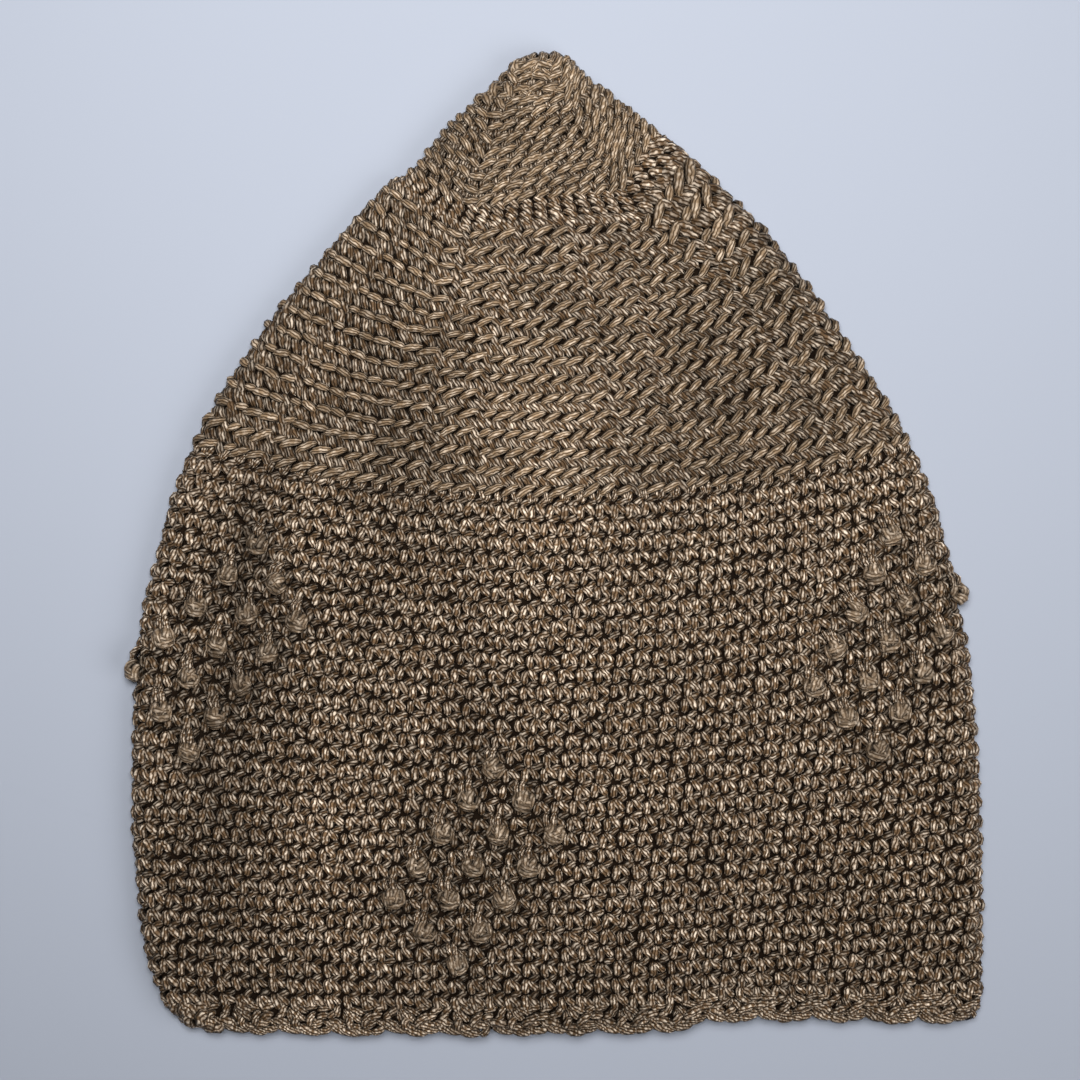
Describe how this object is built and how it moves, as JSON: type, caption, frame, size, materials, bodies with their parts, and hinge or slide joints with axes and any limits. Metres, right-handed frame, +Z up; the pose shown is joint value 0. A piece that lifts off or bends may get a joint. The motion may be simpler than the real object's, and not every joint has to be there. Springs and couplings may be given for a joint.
{
  "type": "crocheted prayer cap",
  "caption": "Tall pointed cap crocheted in plied cotton, with a ridged crown, diamonds of bobbles and a scalloped edging, lying folded flat with its mouth open",
  "frame": {"origin": "middle of the footprint, on the surface that the cap lies on", "axes": "+Z up through the thickness of the flattened cap, +Y from the mouth to the point, +X to the right of the wall that shows"},
  "size_m": [0.2426, 0.2772, 0.0222],
  "materials": {
    "cotton_yarn": "thick plied cotton, slight sheen, crocheted"
  },
  "bodies": {
    "root": {"crown_tip": "cotton_yarn", "tall_round": "cotton_yarn", "ridged_crown": "cotton_yarn", "bobbled_body": "cotton_yarn", "scalloped_edging": "cotton_yarn"}
  },
  "joints": []
}
